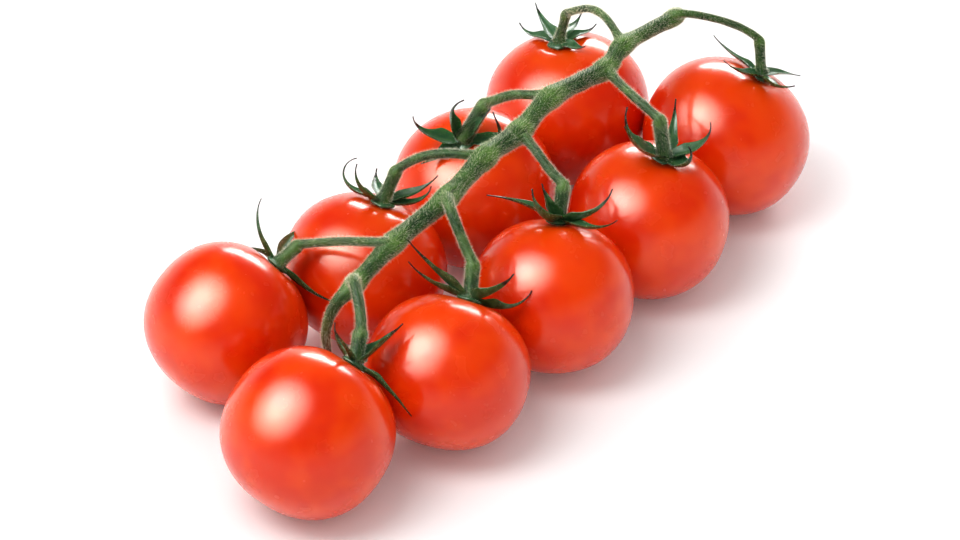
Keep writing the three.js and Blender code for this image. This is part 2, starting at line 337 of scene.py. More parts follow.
@dataclass(frozen=True)
class HairFinish(Finish):
    """Fine pale hairs that catch the light."""

    name: ClassVar[str] = "stem_hair"
    pale: Color = (0.90, 0.84, 0.62, 1.0)
    greenish: Color = (0.62, 0.68, 0.42, 1.0)

    def shade(self, graph: Graph) -> dict[str, Any]:
        """Mixes the two pale colours in patches.

        Args:
            graph: The material's own tree, still empty.

        Returns:
            Values or sockets by the name of the shader's input.
        """
        shares = graph.remap(graph.noise(graph.place(), 0.003), 0.35, 0.65)
        return {
            "Base Color": graph.blend(shares, self.greenish, self.pale),
            "Roughness": 0.45,
            "Subsurface Weight": 0.5,
            "Subsurface Radius": (1.0, 0.9, 0.6),
            "Subsurface Scale": 0.0001,
        }


@dataclass(frozen=True)
class CutFinish(Finish):
    """The cut end of the main stem: pale pith in a greener ring, a little dried."""

    name: ClassVar[str] = "cut_pith"
    pith: Color = (0.52, 0.56, 0.26, 1.0)
    dried: Color = (0.24, 0.20, 0.08, 1.0)

    def shade(self, graph: Graph) -> dict[str, Any]:
        """Mixes fresh and dried pith in patches.

        Args:
            graph: The material's own tree, still empty.

        Returns:
            Values or sockets by the name of the shader's input.
        """
        place = graph.place()
        shares = graph.remap(graph.noise(place, 0.0007, 3.0), 0.4, 0.65)
        return {
            "Base Color": graph.blend(shares, self.pith, self.dried),
            "Roughness": 0.7,
            "Normal": graph.bump(graph.noise(place, 0.0003, 2.0), 0.0001, 0.7),
        }


@dataclass(frozen=True)
class FloorFinish(Finish):
    """Plain pale paper under and behind the truss."""

    name: ClassVar[str] = "floor_paper"
    white: Color = (0.82, 0.82, 0.82, 1.0)
    lift: float = 0.05

    def shade(self, graph: Graph) -> dict[str, Any]:
        """Plain white, lifted a little so that it stays pale in the corners.

        Args:
            graph: The material's own tree, still empty.

        Returns:
            Values or sockets by the name of the shader's input.
        """
        return {
            "Base Color": self.white,
            "Roughness": 0.9,
            "Specular IOR Level": 0.1,
            "Emission Color": self.white,
            "Emission Strength": self.lift,
        }


# ---- Meshes -------------------------------------------------------------------------------------


@dataclass
class Skin:
    """A closed surface in millimetres with values at its points."""

    points: Points
    faces: list[tuple[int, ...]]
    values: dict[str, Points] = field(default_factory=dict)

    def join(self, other: "Skin") -> "Skin":
        """Puts two surfaces in one.

        Args:
            other: A surface with the same values at its points.

        Returns:
            The joined surface.
        """
        shift = len(self.points)
        faces = self.faces + [tuple(i + shift for i in face) for face in other.faces]
        values = {
            name: np.concatenate([numbers, other.values[name]])
            for name, numbers in self.values.items()
        }
        return Skin(np.concatenate([self.points, other.points]), faces, values)

    def to_object(self, name: str, *materials: bpy.types.Material) -> bpy.types.Object:
        """Makes the object, in metres, at the origin.

        Args:
            name: The object's name.
            *materials: Its materials, the first on every face.

        Returns:
            The object.
        """
        mesh = bpy.data.meshes.new(name)
        mesh.from_pydata((self.points * MM).tolist(), [], self.faces)
        for label, numbers in self.values.items():
            layer = mesh.attributes.new(label, "FLOAT", "POINT")
            layer.data.foreach_set("value", np.asarray(numbers, np.float32))
        for material in materials:
            mesh.materials.append(material)
        mesh.polygons.foreach_set("use_smooth", [True] * len(mesh.polygons))
        mesh.update()
        return link(bpy.data.objects.new(name, mesh))


def link(obj: bpy.types.Object) -> bpy.types.Object:
    """Puts an object in the scene."""
    bpy.context.scene.collection.objects.link(obj)
    return obj


def tube(rings: Points, values: dict[str, Points]) -> Skin:
    """Closes a row of rings into one surface, with a point at the middle of each end.

    Args:
        rings: Points by ring and by place round it, the ring's turn running anticlockwise seen
            from the tube's far end.
        values: Numbers by ring and place.

    Returns:
        The surface.
    """
    count, sides, _ = rings.shape
    faces = []
    for ring in range(count - 1):
        for side in range(sides):
            after = (side + 1) % sides
            a, b = ring * sides + side, ring * sides + after
            faces.append((a, b, b + sides, a + sides))
    first, last = count * sides, count * sides + 1
    top = (count - 1) * sides
    for side in range(sides):
        after = (side + 1) % sides
        faces.append((first, after, side))
        faces.append((last, top + side, top + after))
    ends = np.stack([rings[0].mean(axis=0), rings[-1].mean(axis=0)])
    points = np.concatenate([rings.reshape(-1, 3), ends])
    spread = {
        name: np.concatenate([number.reshape(-1), [number[0].mean(), number[-1].mean()]])
        for name, number in values.items()
    }
    return Skin(points, faces, spread)


# ---- Geometry Nodes -----------------------------------------------------------------------------


class NodeTool:
    """A Geometry Nodes tree with named inputs, run on an object to give a plain mesh."""

    def __init__(self, name: str, inputs: dict[str, tuple[str, Any]]) -> None:
        """Makes the tree's interface and builds what is in it.

        Args:
            name: The tree's name.
            inputs: Socket type and default value by input name.
        """
        self.tree = bpy.data.node_groups.new(name, "GeometryNodeTree")
        interface = self.tree.interface
        interface.new_socket("Geometry", in_out="INPUT", socket_type="NodeSocketGeometry")
        self.identifiers: dict[str, str] = {}
        for label, (kind, value) in inputs.items():
            socket = interface.new_socket(label, in_out="INPUT", socket_type=kind)
            if value is not None:
                socket.default_value = value
            self.identifiers[label] = socket.identifier
        interface.new_socket("Geometry", in_out="OUTPUT", socket_type="NodeSocketGeometry")
        self.graph = Graph(self.tree)
        self.inside = self.graph.add("NodeGroupInput").outputs
        self.graph.add("NodeGroupOutput", {0: self.build()})

    def build(self) -> bpy.types.NodeSocket:
        """Builds the tree's nodes and gives the socket of its result."""
        raise NotImplementedError

    def run(self, source: bpy.types.Object, name: str, **inputs: Any) -> bpy.types.Object:
        """Runs the tree on an object.

        Args:
            source: The object that the tree works on; it is left without the modifier.
            name: The new object's name.
            **inputs: Values by input name, with _ for a space.

        Returns:
            A new object with the result as a plain mesh.
        """
        modifier = source.modifiers.new(self.tree.name, "NODES")
        modifier.node_group = self.tree
        for label, value in inputs.items():
            modifier[self.identifiers[label.replace("_", " ")]] = value
        depsgraph = bpy.context.evaluated_depsgraph_get()
        mesh = bpy.data.meshes.new_from_object(source.evaluated_get(depsgraph))
        source.modifiers.remove(modifier)
        mesh.name = name
        return link(bpy.data.objects.new(name, mesh))


class SweepTool(NodeTool):
    """Sweeps a ribbed, slightly uneven stem along a curve, as wide as the curve's own radius."""

    def __init__(self) -> None:
        """Names the inputs of a stem."""
        super().__init__("stem_sweep", {
            "Sides": ("NodeSocketInt", 20),
            "Ribs": ("NodeSocketInt", 5),
            "Rib Depth": ("NodeSocketFloat", 0.0),
            "Unevenness": ("NodeSocketFloat", 0.0),
            "Material": ("NodeSocketMaterial", None),
        })

    def build(self) -> bpy.types.NodeSocket:
        """Curve to mesh, with `turn_x`, `turn_y` and `along` kept for the material.

        Returns:
            The swept stem.
        """
        graph, inside = self.graph, self.inside
        circle = graph.add("GeometryNodeCurvePrimitiveCircle", {
            "Resolution": inside["Sides"], "Radius": 1.0,
        })
        turn = graph.add("GeometryNodeCaptureAttribute", {0: circle.outputs[0]})
        turn.capture_items.new("FLOAT", "Turn")
        round_share = graph.add("GeometryNodeSplineParameter").outputs["Factor"]
        self.tree.links.new(round_share, turn.inputs[1])
        length = graph.add("GeometryNodeCaptureAttribute", {0: inside["Geometry"]})
        length.capture_items.new("FLOAT", "Length")
        gone = graph.add("GeometryNodeSplineParameter").outputs["Length"]
        self.tree.links.new(gone, length.inputs[1])
        radius = graph.add("GeometryNodeInputRadius").outputs[0]
        swept = graph.add("GeometryNodeCurveToMesh", {
            "Curve": length.outputs[0], "Profile Curve": turn.outputs[0], "Scale": radius,
            "Fill Caps": True,
        }).outputs[0]
        angle = graph.math("MULTIPLY", turn.outputs[1], math.tau)
        ribs = graph.math("COSINE", graph.math("MULTIPLY", angle, inside["Ribs"]))
        place = graph.add("GeometryNodeInputPosition").outputs[0]
        uneven = graph.math("SUBTRACT", graph.noise(place, 0.0035), 0.5)
        lift = graph.math(
            "ADD",
            graph.math("MULTIPLY", ribs, inside["Rib Depth"]),
            graph.math("MULTIPLY", uneven, inside["Unevenness"]),
        )
        normal = graph.add("GeometryNodeInputNormal").outputs[0]
        offset = graph.add("ShaderNodeVectorMath", {0: normal, "Scale": lift}, operation="SCALE")
        shaped = graph.add("GeometryNodeSetPosition", {
            "Geometry": swept, "Offset": offset.outputs[0],
        }).outputs[0]
        along = graph.math("MULTIPLY", length.outputs[1], 1.0 / MM)
        for label, value in (
            ("turn_x", graph.math("COSINE", angle)),
            ("turn_y", graph.math("SINE", angle)),
            ("along", along),
        ):
            shaped = graph.add("GeometryNodeStoreNamedAttribute", {
                0: shaped, "Name": label, "Value": value,
            }, data_type="FLOAT", domain="POINT").outputs[0]
        smooth = graph.add("GeometryNodeSetShadeSmooth", {0: shaped}).outputs[0]
        real = graph.add("GeometryNodeRealizeInstances", {0: smooth}).outputs[0]
        return graph.add("GeometryNodeSetMaterial", {
            0: real, "Material": inside["Material"],
        }).outputs[0]


class HairTool(NodeTool):
    """Scatters fine tapering hairs over a surface, standing out and leaning at random."""

    def __init__(self) -> None:
        """Names the inputs of a coat of hair."""
        super().__init__("stem_hairs", {
            "Density": ("NodeSocketFloat", 1.0),
            "Length": ("NodeSocketFloat", 0.0005),
            "Thickness": ("NodeSocketFloat", 0.00003),
            "Lean": ("NodeSocketFloat", 0.5),
            "Seed": ("NodeSocketInt", 1),
            "Material": ("NodeSocketMaterial", None),
        })

    def build(self) -> bpy.types.NodeSocket:
        """One three-sided cone on each scattered point.

        Returns:
            The coat of hair.
        """
        graph, inside = self.graph, self.inside
        scattered = graph.add("GeometryNodeDistributePointsOnFaces", {
            "Mesh": inside["Geometry"], "Density": inside["Density"], "Seed": inside["Seed"],
        }, distribute_method="RANDOM")
        hair = graph.add("GeometryNodeMeshCone", {
            "Vertices": 3, "Side Segments": 1, "Radius Top": 0.0,
            "Radius Bottom": inside["Thickness"], "Depth": inside["Length"],
        }, fill_type="NONE").outputs["Mesh"]
        lean = graph.add("FunctionNodeRandomValue", {"Seed": inside["Seed"]}, data_type="FLOAT_VECTOR")
        sideways = graph.add("ShaderNodeCombineXYZ", {0: inside["Lean"], 1: inside["Lean"], 2: math.pi})
        back = graph.add("ShaderNodeVectorMath", {
            0: sideways.outputs[0], "Scale": -1.0,
        }, operation="SCALE")
        self.tree.links.new(back.outputs[0], lean.inputs[0])
        self.tree.links.new(sideways.outputs[0], lean.inputs[1])
        tilt = graph.add("FunctionNodeEulerToRotation", {0: lean.outputs[0]})
        turned = graph.add("FunctionNodeRotateRotation", {
            0: scattered.outputs["Rotation"], 1: tilt.outputs[0],
        }, rotation_space="LOCAL")
        size = graph.add("FunctionNodeRandomValue", {
            2: 0.45, 3: 1.15, "Seed": inside["Seed"],
        }, data_type="FLOAT")
        placed = graph.add("GeometryNodeInstanceOnPoints", {
            "Points": scattered.outputs["Points"], "Instance": hair,
            "Rotation": turned.outputs[0], "Scale": size.outputs[1],
        }).outputs[0]
        real = graph.add("GeometryNodeRealizeInstances", {0: placed}).outputs[0]
        return graph.add("GeometryNodeSetMaterial", {
            0: real, "Material": inside["Material"],
        }).outputs[0]


# ---- The truss ----------------------------------------------------------------------------------


@dataclass(frozen=True)
class Workshop:
    """What every part of the truss is made with."""

    skin: bpy.types.Material
    stem: bpy.types.Material
    sepal: bpy.types.Material
    hair: bpy.types.Material
    cut: bpy.types.Material
    sweep: SweepTool
    hairs: HairTool

    def coat(self, surface: bpy.types.Object, name: str, seed: int, per_mm2: float,
             length: float) -> bpy.types.Object:
        """Grows hair on a surface.

        Args:
            surface: What the hair stands on.
            name: The hair piece's name.
            seed: Seed of its scatter.
            per_mm2: Hairs on each square millimetre.
            length: Length of a hair, in millimetres.

        Returns:
            The hair piece.
        """
        return self.hairs.run(surface, name, Density=per_mm2 / MM**2, Length=length * MM,
                              Thickness=0.024 * MM, Lean=0.3, Seed=seed, Material=self.hair)


def settle(piece: bpy.types.Object, slot: Slot, *nodes: str) -> None:
    """Ties a finished piece to the frame.

    Args:
        piece: The piece, at the origin.
        slot: The record's slot that its finish belongs to; not used.
        *nodes: The CAD nodes that it stands for.
    """
    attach(piece, BODY)
    if nodes:
        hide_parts(*nodes)
    LOG.info("%s: %d faces", piece.name, len(piece.data.polygons))


@dataclass(frozen=True)
class Sepal:
    """How one sepal grows: angles in degrees about the fruit's axis, lengths in millimetres.

    It sets off at `start` above the shoulder, climbs by `curl` more and turns aside by `sway` on
    its way to the tip.
    """

    heading: float
    length: float
    start: float
    curl: float
    sway: float
    half_width: float


@dataclass(frozen=True)
class Stalk:
    """How one pedicel grows, in millimetres.

    It leaves the main stem along `leaves`, comes in to its knuckle from `arrives`, and drops
    from there, over `knuckle`, to the calyx.
    """

    leaves: tuple[float, float, float]
    arrives: tuple[float, float, float]
    knuckle: tuple[float, float, float]
    radius: float
    foot_radius: float


@dataclass
class Fruit:
    """One tomato: a squarish round body, dimpled at the calyx, leaning on the table.

    Lengths are in millimetres and angles in degrees.
    """

    number: int
    radius: float
    height: float
    lean: float
    toward: float
    stalk: Stalk
    sepals: list[Sepal]
    fullness: float = 2.2
    dimple_depth: float = 0.9
    dimple_reach: float = 3.6
    flattened: float = 0.2
    rings: int = 84
    sides: int = 112

    def __post_init__(self) -> None:
        """Works out where the fruit lies from its CAD node's box and its own outline."""
        lean, toward = math.radians(self.lean), math.radians(self.toward)
        self.axis = Vector((
            math.sin(lean) * math.cos(toward),
            math.sin(lean) * math.sin(toward),
            math.cos(lean),
        ))
        self.turn: Quaternion = UP.rotation_difference(self.axis)
        low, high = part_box(self.name)
        middle = (low + high) / 2 / MM
        out, up = self.outline(np.linspace(-0.5, 0.5, 400))
        reach = (out * math.sin(lean) - up * math.cos(lean)).max()
        self.middle = Vector((middle.x, middle.y, reach - self.flattened))

    @property
    def name(self) -> str:
        """The CAD node's name."""
        return f"tomato_{self.number}"

    def skin_height(self, distance: Points | float) -> Points | float:
        """The upper skin.

        Args:
            distance: From the fruit's axis.

        Returns:
            Its height above the fruit's middle.
        """
        share = np.clip(np.asarray(distance) / self.radius, 0.0, 1.0)
        dome = (1.0 - share**self.fullness) ** (1.0 / self.fullness)
        return self.radius * self.height * dome - self.dimple_depth * np.exp(
            -((np.asarray(distance) / self.dimple_reach) ** 2)
        )

    def outline(self, share: Points) -> tuple[Points, Points]:
        """The fruit's outline.

        Args:
            share: From -0.5 at the blossom end to 0.5 at the calyx.

        Returns:
            Distance from the axis and height above the middle.
        """
        power = 2.0 / self.fullness
        angle = share * math.pi
        out = self.radius * np.abs(np.cos(angle)) ** power
        low = -self.radius * self.height * np.abs(np.sin(angle)) ** power
        return out, np.where(angle > 0, self.skin_height(out), low)

    def placed(self, local: Points) -> Points:
        """Turns points about the fruit's own middle into the truss's frame."""
        turn = np.array(self.turn.to_matrix())
        return local @ turn.T + np.array(self.middle)

    def build(self, shop: Workshop) -> bpy.types.Object:
        """Makes the tomato.

        Args:
            shop: Materials and tools.

        Returns:
            The finished piece.
        """
        chance = random.Random(40 + self.number)
        share = np.linspace(-0.5, 0.5, self.rings)[:, None]
        angle = np.linspace(0.0, math.tau, self.sides, endpoint=False)[None, :]
        out, up = self.outline(share)
        swell = np.zeros_like(angle)
        for waves in (2, 3):
            depth, phase = chance.uniform(0.002, 0.005), chance.uniform(0.0, math.tau)
            swell = swell + depth * np.cos(waves * angle + phase)
        out = out * (1.0 + swell)
        rings = np.stack([out * np.cos(angle), out * np.sin(angle), up + 0.0 * angle], axis=-1)
        ones = np.ones_like(share)
        body = tube(rings, {
            "drop": (0.5 - share) * np.ones_like(angle),
            "turn_x": ones * np.cos(angle) * np.cos(share * math.pi),
            "turn_y": ones * np.sin(angle) * np.cos(share * math.pi),
        })
        body.points = self.placed(body.points)
        body.points[:, 2] = np.maximum(body.points[:, 2], 0.0)
        piece = body.to_object(f"tomato_skin_{self.number}", shop.skin)
        settle(piece, Slot.SKIN, self.name)
        return piece


def bell(distance: Points, reach: float) -> Points:
    """A smooth bump, 1 at no distance and nearly gone at twice its reach."""
    return np.exp(-((distance / reach) ** 2))


@dataclass
class Calyx:
    """The star of sepals on a fruit, on the button that they grow from."""

    fruit: Fruit
    seat_radius: float = 2.2
    thickness: float = 0.9
    gap: float = 0.3
    root: float = 0.8
    half_thickness: float = 0.2
    foot_width: float = 0.6
    widest: float = 0.3
    narrowing: float = 1.25
    tip_width: float = 0.1
    thinning: float = 0.5
    cupping: float = 0.6
    rib_depth: float = 0.16
    rib_width: float = 0.2
    steps: int = 34
    sides: int = 16
    hair_density: float = 6.0
    hair_length: float = 0.32
    hair_seed: int = 700

    @property
    def seat(self) -> float:
        """Height of the button's underside above the fruit's middle."""
        return float(self.fruit.skin_height(self.seat_radius)) + self.gap

    @property
    def top(self) -> float:
        """Height above the fruit's middle where the pedicel's foot stands."""
        return self.seat + self.thickness + self.gap

    def taper(self, share: float) -> float:
        """Half-width of a sepal.

        Args:
            share: Of its length, from the foot.

        Returns:
            The half-width there, as a share of its largest.
        """
        opening = math.sin(math.pi / 2 * min(share / self.widest, 1.0))
        rise = self.foot_width + (1.0 - self.foot_width) * opening
        fall = min((1.0 - share) / (1.0 - self.widest), 1.0) ** self.narrowing
        return max(rise * fall, self.tip_width)

    def button(self) -> Skin:
        """The receptacle, a low dome.

        Returns:
            Its surface about the fruit's middle.
        """
        share = np.linspace(0.0, 1.0, 9)[:, None]
        angle = np.linspace(0.0, math.tau, 30, endpoint=False)[None, :]
        bulge = np.sin(math.pi * np.clip(share * 0.96 + 0.02, 0.0, 1.0)) ** 0.7
        out = self.seat_radius * (0.05 + 1.0 * bulge)
        out = out * (1.0 + 0.06 * np.cos(len(self.fruit.sepals) * angle))
        up = self.seat - 0.5 + (self.thickness + 0.6) * share + 0.0 * angle
        rings = np.stack([out * np.cos(angle), out * np.sin(angle), up], axis=-1)
        flat = np.zeros_like(up)
        # The button takes the sepals' upper colour, which is painted as if lit.
        return tube(rings, {"blade": flat, "side": flat + 1.0, "face": flat + 1.0})

    def sepal(self, order: int, shape: Sepal) -> Skin:
        """One sepal: broad and cupped at its foot, then a long thin point that curls up.

        Args:
            order: Its place in the star, which seeds its own small twists.
            shape: How it grows.

        Returns:
            Its surface about the fruit's middle.
        """
        chance = random.Random(100 * self.fruit.number + order)
        roll = chance.uniform(-0.3, 0.3)
        wave, phase = chance.uniform(0.04, 0.12), chance.uniform(0.0, math.tau)
        turn = np.linspace(0.0, math.tau, self.sides, endpoint=False)
        around = np.cos(turn)
        over = np.sin(turn)
        heading = math.radians(shape.heading)
        spot = np.array([math.cos(heading), math.sin(heading), 0.0]) * self.root
        spot[2] = self.seat + self.thickness / 2
        stride = shape.length / (self.steps - 1)
        rings, shares = [], np.linspace(0.0, 1.0, self.steps)
        for share in shares:
            climb = math.radians(shape.start + shape.curl * share**1.5)
            angle = heading + math.radians(shape.sway) * share**2
            outward = np.array([math.cos(angle), math.sin(angle), 0.0])
            distance = math.hypot(spot[0], spot[1])
            lowest = float(self.fruit.skin_height(distance)) + self.gap + self.half_thickness
            spot[2] = max(spot[2], lowest)
            across = np.array([outward[1], -outward[0], 0.0])
            lift = np.array([0.0, 0.0, math.cos(climb)]) - outward * math.sin(climb)
            twist = roll * share
            across, lift = (
                across * math.cos(twist) + lift * math.sin(twist),
                lift * math.cos(twist) - across * math.sin(twist),
            )
            wander = 1.0 + 0.06 * math.sin(9.0 * share + phase)
            width = shape.half_width * self.taper(share) * wander
            thick = self.half_thickness * (1.0 - self.thinning * share)
            cup = self.cupping * width * np.abs(around) ** 1.7
            ruffle = wave * width * np.sin(11.0 * share + phase) * around
            rib = -self.rib_depth * (1.0 - share) ** 2 * bell(around, self.rib_width)
            section = thick * over * (1.0 - 0.5 * np.abs(around)) + cup + ruffle + rib
            rings.append(spot + np.outer(around * width, across) + np.outer(section, lift))
            rise = np.array([0.0, 0.0, stride * math.sin(climb)])
            spot = spot + outward * (stride * math.cos(climb)) + rise
        # `face` runs from the sepal's lower side to its upper side; the finish paints the upper side as
        # lit and the lower side in painted shade.
        values = {
            "blade": np.repeat(shares[:, None], self.sides, axis=1),
            "side": np.repeat(around[None, :], self.steps, axis=0),
            "face": np.repeat(over[None, :], self.steps, axis=0),
        }
        return tube(np.stack(rings), values)

    def build(self, shop: Workshop) -> None:
        """Makes the calyx and the short hair on it.

        Args:
            shop: Materials and tools.
        """
        whole = self.button()
        for order, shape in enumerate(self.fruit.sepals):
            whole = whole.join(self.sepal(order, shape))
        whole.points = self.fruit.placed(whole.points)
        number = self.fruit.number
        piece = whole.to_object(f"sepals_{number}", shop.sepal)
        hair = shop.coat(piece, f"sepal_hair_{number}", self.hair_seed + number,
                         self.hair_density, self.hair_length)
        settle(piece, Slot.SEPAL, f"calyx_{number}")
        settle(hair, Slot.SEPAL)


@dataclass
class Stem:
    """A stretch of stem: a centre line, its radius, and how swollen and how dry it is there."""

    name: str
    points: Points
    radii: Points
    swell: Points
    dry: Points
    sides: int = 20
    ribs: int = 5
    rib_depth: float = 0.05
    unevenness: float = 0.35

    def curve(self) -> bpy.types.Object:
        """Draws the centre line.

        Returns:
            A curve object, in metres.
        """
        data = bpy.data.curves.new(self.name, "CURVE")
        data.dimensions = "3D"
        spline = data.splines.new("POLY")
        spline.points.add(len(self.points) - 1)
        for post, at, radius in zip(spline.points, self.points, self.radii):
            post.co = (*(at * MM), 1.0)
            post.radius = radius * MM
        return link(bpy.data.objects.new(self.name, data))

    def build(self, shop: Workshop, name: str) -> bpy.types.Object:
        """Sweeps the stem and marks its swollen and its dry stretches.

        Args:
            shop: Materials and tools.
            name: The piece's name.

        Returns:
            The swept piece.
        """
        path = self.curve()
        piece = shop.sweep.run(path, name, Sides=self.sides, Ribs=self.ribs,
                               Rib_Depth=self.rib_depth * MM,
                               Unevenness=self.unevenness * MM, Material=shop.stem)
        bpy.data.objects.remove(path)
        spots = np.array([vertex.co for vertex in piece.data.vertices]) / MM
        apart = np.linalg.norm(spots[:, None, :] - self.points[None, :, :], axis=2)
        nearest = apart.argmin(axis=1)
        for label, numbers in (("swell", self.swell), ("dry", self.dry)):
            layer = piece.data.attributes.new(label, "FLOAT", "POINT")
            layer.data.foreach_set("value", numbers[nearest].astype(np.float32))
        return piece


@dataclass(frozen=True)
class Post:
    """A point on the main stem's centre line, and its radius there."""

    at: tuple[float, float, float]
    radius: float

    def spot(self) -> Vector:
        """The point in the truss's frame, in millimetres."""
        return Vector(self.at) - TRUSS_MIDDLE


@dataclass
class Rachis:
    """The main stem, from its cut end to its withered tip, swollen where the pedicels leave it."""

    posts: list[Post]
    bearing: range
    swelling: float = 0.45
    reach: float = 2.4
    yellowing: float = 0.75
    withered: float = 12.0
    steps: int = 260
    hair_density: float = 14.0
    hair_length: float = 0.6
    hair_seed: int = 11

    def path(self) -> tuple[Points, Points]:
        """Centre line and radius, on a smooth curve through the posts.

        Returns:
            Points and radii.
        """
        spots = np.array([post.spot() for post in self.posts])
        radii = np.array([post.radius for post in self.posts])
        before, after = 2 * spots[0] - spots[1], 2 * spots[-1] - spots[-2]
        padded = np.vstack([before, spots, after])
        line, widths = [], []
        per = self.steps // (len(spots) - 1)
        for leg in range(len(spots) - 1):
            ends = padded[leg:leg + 4]
            for share in np.linspace(0.0, 1.0, per, endpoint=False):
                line.append(catmull_rom(ends, share))
                widths.append(radii[leg] + (radii[leg + 1] - radii[leg]) * share)
        line.append(spots[-1])
        widths.append(radii[-1])
        return np.array(line), np.array(widths)

    def dress_cut(self, piece: bpy.types.Object, sides: int, pith: bpy.types.Material) -> None:
        """Shows pith on the cap at the cut end.

        Args:
            piece: The swept main stem.
            sides: How many sides its caps have.
            pith: The finish of the cut.
        """
        piece.data.materials.append(pith)
        cut = self.posts[0].spot()
        caps = [face for face in piece.data.polygons if face.loop_total == sides]
        nearest = min(caps, key=lambda face: (face.center / MM - cut).length)
        nearest.material_index = len(piece.data.materials) - 1

    def build(self, shop: Workshop) -> None:
        """Makes the main stem, its cut face and its hair.

        Args:
            shop: Materials and tools.
        """
        line, radii = self.path()
        nodes = np.array([self.posts[index].spot() for index in self.bearing])
        nearest = np.linalg.norm(line[:, None, :] - nodes[None, :, :], axis=2).min(axis=1)
        bulge = bell(nearest, self.reach)
        from_tip = np.linalg.norm(line - line[-1], axis=1)
        dry = np.clip(1.0 - from_tip / self.withered, 0.0, 1.0)
        stem = Stem("rachis_line", line, radii + self.swelling * bulge, self.yellowing * bulge, dry,
                    sides=28, ribs=6, rib_depth=0.07, unevenness=0.5)
        piece = stem.build(shop, "main_stem")
        self.dress_cut(piece, stem.sides, shop.cut)
        hair = shop.coat(piece, "main_stem_hair", self.hair_seed, self.hair_density,
                         self.hair_length)
        settle(piece, Slot.STEM, "rachis")
        settle(hair, Slot.STEM)


def catmull_rom(ends: Points, share: float) -> Points:
    """A point on the smooth curve through four points.

    Args:
        ends: The four points.
        share: How far it is from the second point to the third.

    Returns:
        The point.
    """
    a, b, c, d = ends
    return 0.5 * (
        2 * b + (c - a) * share
        + (2 * a - 5 * b + 4 * c - d) * share**2
        + (3 * b - a - 3 * c + d) * share**3
    )


@dataclass
class Pedicel:
    """A fruit stalk: it flares out of the main stem, arches over to its knuckle, and drops from
    there, thicker, onto the calyx.

    The shifts place the knuckle's swelling and its crease along the stalk from where it bends.
    """

    fruit: Fruit
    calyx: Calyx
    node: Post
    step: float = 0.2
    rounds: int = 12
    thickening: float = 0.35
    knuckle_swelling: float = 0.1
    knuckle_shift: float = 0.3
    knuckle_length: float = 1.0
    crease_depth: float = 0.06
    crease_shift: float = 0.5
    crease_length: float = 0.25
    waist: float = 0.08
    root_flare: float = 0.7
    root_flare_length: float = 2.3
    foot_flare: float = 0.35
    foot_flare_length: float = 0.8
    yellow_knuckle: float = 0.5
    yellow_root: float = 0.7
    yellow_root_length: float = 3.0
    hair_density: float = 18.0
    hair_length: float = 0.55
    hair_seed: int = 300

    def route(self) -> tuple[Points, float]:
        """Centre line from the main stem to the calyx.

        Returns:
            Its points and the length of its foot.
        """
        stalk = self.fruit.stalk
        start = self.node.spot()
        end = self.fruit.middle + self.fruit.axis * (self.calyx.top - 0.5)
        knuckle = self.fruit.middle + self.fruit.axis * self.calyx.top + Vector(stalk.knuckle)
        corners = (start, start + Vector(stalk.leaves), knuckle + Vector(stalk.arrives), knuckle)
        a, b, c, d = (np.array(corner) for corner in corners)
        count = int((knuckle - start).length / self.step)
        share = np.linspace(0.0, 1.0, count)[:, None]
        left = 1.0 - share
        arch = left**3 * a + 3 * share * left**2 * b + 3 * share**2 * left * c + share**3 * d
        foot = (end - knuckle).length
        drop = np.linspace(0.0, 1.0, int(foot / self.step))[1:, None]
        line = np.concatenate([arch, d + (np.array(end) - d) * drop])
        for _ in range(self.rounds):
            line[1:-1] = (line[:-2] + 2.0 * line[1:-1] + line[2:]) / 4.0
        return line, foot

    def build(self, shop: Workshop) -> None:
        """Makes the pedicel and its hair.

        Args:
            shop: Materials and tools.
        """
        fruit, stalk = self.fruit, self.fruit.stalk
        line, foot_length = self.route()
        stretch = np.linalg.norm(np.diff(line, axis=0), axis=1)
        gone = np.concatenate([[0.0], np.cumsum(stretch)])
        to_go = gone[-1] - gone
        past = to_go - foot_length
        foot = 1.0 / (1.0 + np.exp(past / self.thickening))
        knuckle = bell(past + self.knuckle_shift, self.knuckle_length)
        crease = bell(past - self.crease_shift, self.crease_length)
        radii = stalk.radius + (stalk.foot_radius - stalk.radius) * foot
        radii = radii + self.knuckle_swelling * knuckle - self.crease_depth * crease
        radii = radii - self.waist * np.sin(math.pi * to_go / foot_length) * foot
        radii = radii + self.root_flare * bell(gone, self.root_flare_length)
        radii = radii + self.foot_flare * bell(to_go, self.foot_flare_length)
        yellow_root = self.yellow_root * bell(gone, self.yellow_root_length)
        swell = np.clip(self.yellow_knuckle * knuckle + yellow_root, 0.0, 1.0)
        stem = Stem(f"pedicel_line_{fruit.number}", line, radii, swell, 0.0 * swell, sides=18,
                    ribs=5, rib_depth=0.03, unevenness=0.25)
        piece = stem.build(shop, f"stalk_{fruit.number}")
        hair = shop.coat(piece, f"stalk_hair_{fruit.number}", self.hair_seed + fruit.number,
                         self.hair_density, self.hair_length)
        settle(piece, Slot.STEM, f"pedicel_{fruit.number}")
        settle(hair, Slot.STEM)


# ---- Studio -------------------------------------------------------------------------------------


